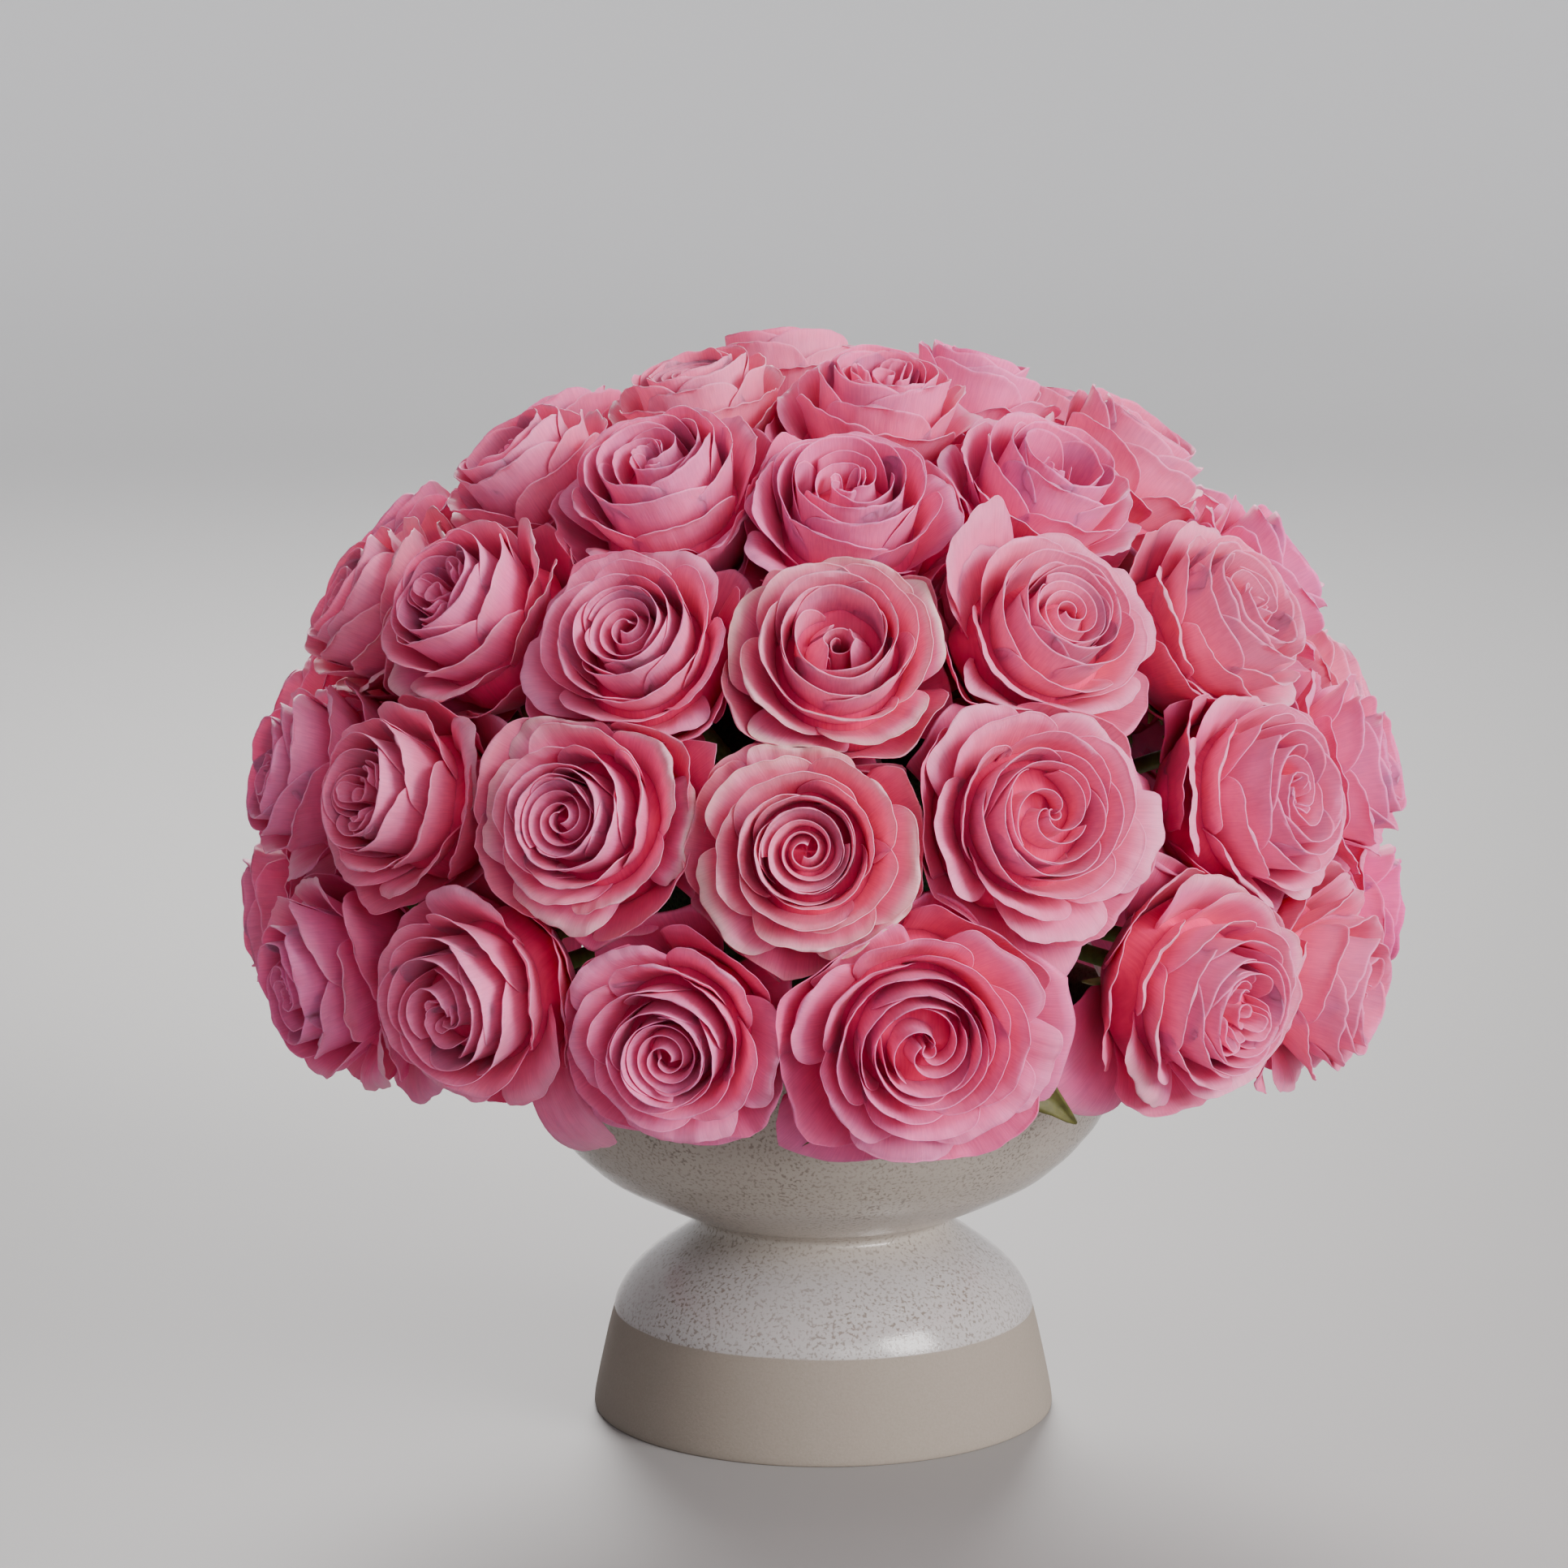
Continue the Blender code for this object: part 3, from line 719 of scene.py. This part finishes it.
def build_bowl():
    """The thrown bowl, turned finely, with the glaze standing a little proud of the bare foot."""
    section = smooth_section(BOWL_SECTION, 6)
    steps = 160
    turn = np.linspace(0, math.tau, steps, endpoint=False)[None, :]
    radius, height = section[1:-1, :1], section[1:-1, 1:]
    outside = (np.arange(len(section))[1:-1, None] > 9.5 * 6) & (radius > 30)
    throwing = 0.10 * np.sin(height * 0.9 + 0.7 * np.sin(turn)) * smoothstep(40, 62, height) * outside
    wobble = 0.22 * np.sin(2 * turn + 0.6) + 0.12 * np.sin(3 * turn + 1.0)
    line = GLAZE_LINE + 0.35 * np.sin(3 * turn + 0.4) + 0.2 * np.sin(7 * turn)
    glaze = 0.32 * smoothstep(-0.5, 0.6, height - line) * outside
    r = radius + (throwing + wobble * smoothstep(5, 60, height)) * (radius > 25) + glaze
    x, y = r * np.cos(turn), r * np.sin(turn)
    z = height + 0 * turn
    points = np.stack([x, y, z], 2).reshape(-1, 3)
    rows = len(radius)
    index = np.arange(rows * steps).reshape(rows, steps)
    after = np.roll(index, -1, axis=1)
    quads = np.stack(
        [index[:-1].ravel(), after[:-1].ravel(), after[1:].ravel(), index[1:].ravel()], 1
    ).tolist()
    first, last = rows * steps, rows * steps + 1
    points = np.concatenate([points, [[0, 0, section[0][1]], [0, 0, section[-1][1]]]])
    fans = [[index[0, k], first, after[0, k]] for k in range(steps)]
    fans += [[index[-1, k], after[-1, k], last] for k in range(steps)]
    mesh = bpy.data.meshes.new("bowl")
    mesh.from_pydata((points * MM).tolist(), [], quads + fans)
    mesh.polygons.foreach_set("use_smooth", np.ones(len(mesh.polygons), bool))
    mesh.update()
    mesh.materials.append(stoneware_material())
    bowl = bpy.data.objects.new("bowl", mesh)
    bpy.context.scene.collection.objects.link(bowl)
    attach(bowl, "bowl")
    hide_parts("compote_bowl")


def stoneware_material():
    """Pale speckled glaze down to a line, bare sandy clay below it and under the foot."""
    made, tree, shader = new_material("stoneware", 0.3)
    where = node(tree, "ShaderNodeTexCoord")
    place = node(tree, "ShaderNodeSeparateXYZ")
    link(tree, where.outputs["Object"], place.inputs[0])
    wavy = node(tree, "ShaderNodeTexNoise")
    wavy.inputs["Scale"].default_value = 28.0
    link(tree, where.outputs["Object"], wavy.inputs["Vector"])
    shift = node(tree, "ShaderNodeMath", operation="MULTIPLY_ADD")
    shift.inputs[1].default_value = 0.0012
    link(tree, wavy.outputs["Fac"], shift.inputs[0])
    link(tree, place.outputs["Z"], shift.inputs[2])
    glazed = node(tree, "ShaderNodeMapRange", interpolation_type="SMOOTHSTEP")
    glazed.inputs["From Min"].default_value = (GLAZE_LINE + 0.3) * MM
    glazed.inputs["From Max"].default_value = (GLAZE_LINE + 0.9) * MM
    link(tree, shift.outputs[0], glazed.inputs["Value"])

    specks = node(tree, "ShaderNodeTexNoise")
    specks.inputs["Scale"].default_value = 1050.0
    specks.inputs["Detail"].default_value = 3.0
    link(tree, where.outputs["Object"], specks.inputs["Vector"])
    dots = node(tree, "ShaderNodeMapRange")
    dots.inputs["From Min"].default_value = 0.52
    dots.inputs["From Max"].default_value = 0.64
    link(tree, specks.outputs["Fac"], dots.inputs["Value"])
    broad = node(tree, "ShaderNodeTexNoise")
    broad.inputs["Scale"].default_value = 45.0
    broad.inputs["Detail"].default_value = 3.0
    link(tree, where.outputs["Object"], broad.inputs["Vector"])
    dense = node(tree, "ShaderNodeMapRange")
    dense.inputs["From Min"].default_value = 0.3
    dense.inputs["From Max"].default_value = 0.7
    dense.inputs["To Min"].default_value = 0.35
    dense.inputs["To Max"].default_value = 1.0
    link(tree, broad.outputs["Fac"], dense.inputs["Value"])
    strength = node(tree, "ShaderNodeMath", operation="MULTIPLY")
    link(tree, dots.outputs["Result"], strength.inputs[0])
    link(tree, dense.outputs["Result"], strength.inputs[1])

    foot_white = node(tree, "ShaderNodeMapRange", interpolation_type="SMOOTHSTEP")
    foot_white.inputs["From Min"].default_value = 0.046
    foot_white.inputs["From Max"].default_value = 0.058
    link(tree, place.outputs["Z"], foot_white.inputs["Value"])
    glaze_base = node(tree, "ShaderNodeMix", data_type="RGBA")
    glaze_base.inputs[6].default_value = (0.405, 0.383, 0.38, 1)
    glaze_base.inputs[7].default_value = (0.43, 0.38, 0.33, 1)
    link(tree, foot_white.outputs["Result"], glaze_base.inputs[0])
    speckled = node(tree, "ShaderNodeMix", data_type="RGBA")
    speckled.inputs[7].default_value = (0.19, 0.155, 0.13, 1)
    link(tree, strength.outputs[0], speckled.inputs[0])
    link(tree, glaze_base.outputs[2], speckled.inputs[6])

    grain = node(tree, "ShaderNodeTexNoise")
    grain.inputs["Scale"].default_value = 1500.0
    grain.inputs["Detail"].default_value = 3.0
    link(tree, where.outputs["Object"], grain.inputs["Vector"])
    clay = node(tree, "ShaderNodeMix", data_type="RGBA")
    clay.inputs[6].default_value = (0.228, 0.193, 0.158, 1)
    clay.inputs[7].default_value = (0.290, 0.251, 0.213, 1)
    link(tree, grain.outputs["Fac"], clay.inputs[0])
    colour = node(tree, "ShaderNodeMix", data_type="RGBA")
    link(tree, glazed.outputs["Result"], colour.inputs[0])
    link(tree, clay.outputs[2], colour.inputs[6])
    link(tree, speckled.outputs[2], colour.inputs[7])
    link(tree, colour.outputs[2], shader.inputs["Base Color"])

    rough = node(tree, "ShaderNodeMapRange")
    rough.inputs["To Min"].default_value = 0.85
    rough.inputs["To Max"].default_value = 0.13
    link(tree, glazed.outputs["Result"], rough.inputs["Value"])
    link(tree, rough.outputs["Result"], shader.inputs["Roughness"])
    height = node(tree, "ShaderNodeMath", operation="MULTIPLY_ADD")
    height.inputs[1].default_value = -0.5
    link(tree, dots.outputs["Result"], height.inputs[0])
    link(tree, grain.outputs["Fac"], height.inputs[2])
    bump = node(tree, "ShaderNodeBump")
    bump.inputs["Strength"].default_value = 0.12
    bump.inputs["Distance"].default_value = 0.0003
    link(tree, height.outputs[0], bump.inputs["Height"])
    link(tree, bump.outputs["Normal"], shader.inputs["Normal"])
    return made


# ---- foam and tape --------------------------------------------------------------------
def foam_material():
    """Wet floral foam: dark green, fine open cells, with painted shade in the cell hollows."""
    made, tree, shader = new_material("foam", 0.95)
    where = node(tree, "ShaderNodeTexCoord")
    cells = node(tree, "ShaderNodeTexVoronoi")
    cells.inputs["Scale"].default_value = 900.0
    link(tree, where.outputs["Object"], cells.inputs["Vector"])
    # darkest at the cell centres, the hollows of the bump: painted shade
    tint = node(tree, "ShaderNodeMix", data_type="RGBA")
    tint.inputs[6].default_value = (0.012, 0.040, 0.016, 1)
    tint.inputs[7].default_value = (0.045, 0.115, 0.045, 1)
    link(tree, cells.outputs["Distance"], tint.inputs[0])
    link(tree, tint.outputs[2], shader.inputs["Base Color"])
    bump = node(tree, "ShaderNodeBump")
    bump.inputs["Strength"].default_value = 0.8
    bump.inputs["Distance"].default_value = 0.0006
    link(tree, cells.outputs["Distance"], bump.inputs["Height"])
    link(tree, bump.outputs["Normal"], shader.inputs["Normal"])
    return made


def tape_material():
    """Pale anchor tape, slightly creased and shiny."""
    made, tree, shader = new_material("tape", 0.38)
    where = node(tree, "ShaderNodeTexCoord")
    crease = node(tree, "ShaderNodeTexNoise")
    crease.inputs["Scale"].default_value = 220.0
    link(tree, where.outputs["Object"], crease.inputs["Vector"])
    tint = node(tree, "ShaderNodeMix", data_type="RGBA")
    tint.inputs[6].default_value = (0.74, 0.78, 0.74, 1)
    tint.inputs[7].default_value = (0.86, 0.88, 0.86, 1)
    link(tree, crease.outputs["Fac"], tint.inputs[0])
    link(tree, tint.outputs[2], shader.inputs["Base Color"])
    bump = node(tree, "ShaderNodeBump")
    bump.inputs["Strength"].default_value = 0.25
    bump.inputs["Distance"].default_value = 0.0004
    link(tree, crease.outputs["Fac"], bump.inputs["Height"])
    link(tree, bump.outputs["Normal"], shader.inputs["Normal"])
    return made


def dress_cad_nodes():
    """Foam and tape keep their CAD shapes; the foam and the first strip get a new material.

    The second strip, hidden under the roses, stays in the plain one that the frame gives it.
    """
    for name, look in (("floral_foam", foam_material()), ("anchor_tape_1", tape_material())):
        for slot in frame["nodes"][name].material_slots:
            slot.material = look


# ---- room, light and camera -----------------------------------------------------------
IMAGE_SIZE = 1932
MM_PER_PIXEL = 0.233  # at the dome's middle


def build_stage():
    """A round studio sweep, paler with distance: a flat floor that curves up into a wall."""
    made, tree, shader = new_material("floor", 0.6)
    where = node(tree, "ShaderNodeTexCoord")
    away = node(tree, "ShaderNodeVectorMath", operation="LENGTH")
    link(tree, where.outputs["Object"], away.inputs[0])
    rise = node(tree, "ShaderNodeMapRange", interpolation_type="SMOOTHSTEP")
    rise.inputs["From Min"].default_value = 0.3
    rise.inputs["From Max"].default_value = 5.0
    link(tree, away.outputs["Value"], rise.inputs["Value"])
    tint = node(tree, "ShaderNodeMix", data_type="RGBA")
    tint.inputs[6].default_value = (0.31, 0.303, 0.30, 1)
    tint.inputs[7].default_value = (0.66, 0.66, 0.675, 1)
    link(tree, rise.outputs["Result"], tint.inputs[0])
    link(tree, tint.outputs[2], shader.inputs["Base Color"])
    flat, bend, top, steps = 3.5, 2.5, 5.0, 96
    curve = np.linspace(0, math.pi / 2, 17)
    radii = np.concatenate([[0.5, flat * 0.5], flat + bend * np.sin(curve), [flat + bend]])
    heights = np.concatenate([[0.0, 0.0], bend * (1 - np.cos(curve)), [top]])
    turn = np.linspace(0, math.tau, steps, endpoint=False)
    rings = [(r * math.cos(a), r * math.sin(a), z) for r, z in zip(radii, heights) for a in turn]
    index = np.arange(len(rings)).reshape(len(radii), steps)
    after = np.roll(index, -1, axis=1)
    walls = np.stack([index[:-1].ravel(), index[1:].ravel(), after[1:].ravel(), after[:-1].ravel()], 1)
    mesh = bpy.data.meshes.new("floor")
    mesh.from_pydata(rings, [], walls.tolist() + [index[0].tolist()])
    mesh.polygons.foreach_set("use_smooth", np.ones(len(mesh.polygons), bool))
    mesh.update()
    mesh.materials.append(made)
    floor = bpy.data.objects.new("floor", mesh)
    bpy.context.scene.collection.objects.link(floor)
    world = bpy.data.worlds.new("room")
    bpy.context.scene.world = world
    world.use_nodes = True
    world.node_tree.nodes["Background"].inputs["Color"].default_value = (0.88, 0.86, 0.86, 1)
    world.node_tree.nodes["Background"].inputs["Strength"].default_value = 0.30


def area_light(name, place, aim, size, power, colour, spread=180.0):
    """A soft rectangular lamp that no camera sees; spread is its beam in degrees."""
    data = bpy.data.lights.new(name, "AREA")
    data.shape = "RECTANGLE"
    data.size, data.size_y = size
    data.energy = power
    data.color = colour
    data.spread = math.radians(spread)
    lamp = bpy.data.objects.new(name, data)
    lamp.location = place
    lamp.rotation_euler = (Vector(aim) - Vector(place)).to_track_quat("-Z", "Y").to_euler()
    lamp.visible_camera = False
    bpy.context.scene.collection.objects.link(lamp)


def build_light():
    """Daylight from a window at the right, a weak one behind, and lit walls all round."""
    middle = (0.0, 0.0, 0.16)
    area_light("window", (2.68, -2.25, 1.55), middle, (1.7, 1.9), 205.0, (1.0, 0.97, 0.95))
    area_light("room_fill", (1.2, -3.1, 1.3), middle, (1.8, 1.4), 32.0, (1.0, 0.98, 0.97))
    area_light("sky", (0.6, 0.1, 1.6), middle, (1.4, 1.4), 4.0, (0.98, 0.98, 1.0))
    area_light("far_window", (-0.2, 3.3, 1.7), middle, (1.6, 1.3), 13.0, (1.0, 0.98, 0.97), 50.0)
    area_light("backdrop", (0.0, 1.2, 3.0), (0.0, 6.0, 1.2), (2.0, 1.0), 125.0, (1.0, 1.0, 1.0))
    area_light("front_wall", (0.0, -1.2, 3.4), (0.0, -6.0, 1.2), (2.0, 1.0), 26.0, (1.0, 1.0, 1.0))


def build_camera():
    """From 1.5 m, looking 10 degrees down at the dome's lower half."""
    distance, elevation, aim_height, aim_side = 1.5, math.radians(10.0), 0.183, -0.0115
    width = MM_PER_PIXEL * IMAGE_SIZE * MM
    data = bpy.data.cameras.new("camera")
    data.angle = 2 * math.atan(width / 2 / distance)
    camera = bpy.data.objects.new("camera", data)
    aim = Vector((aim_side, 0.0, aim_height))
    away = Vector((0.0, -math.cos(elevation), math.sin(elevation)))
    camera.location = aim + away * distance
    camera.rotation_euler = (-away).to_track_quat("-Z", "Y").to_euler()
    bpy.context.scene.collection.objects.link(camera)
    bpy.context.scene.camera = camera


build_camera()
build_bowl()
dress_cad_nodes()
build_roses()
build_stage()
build_light()
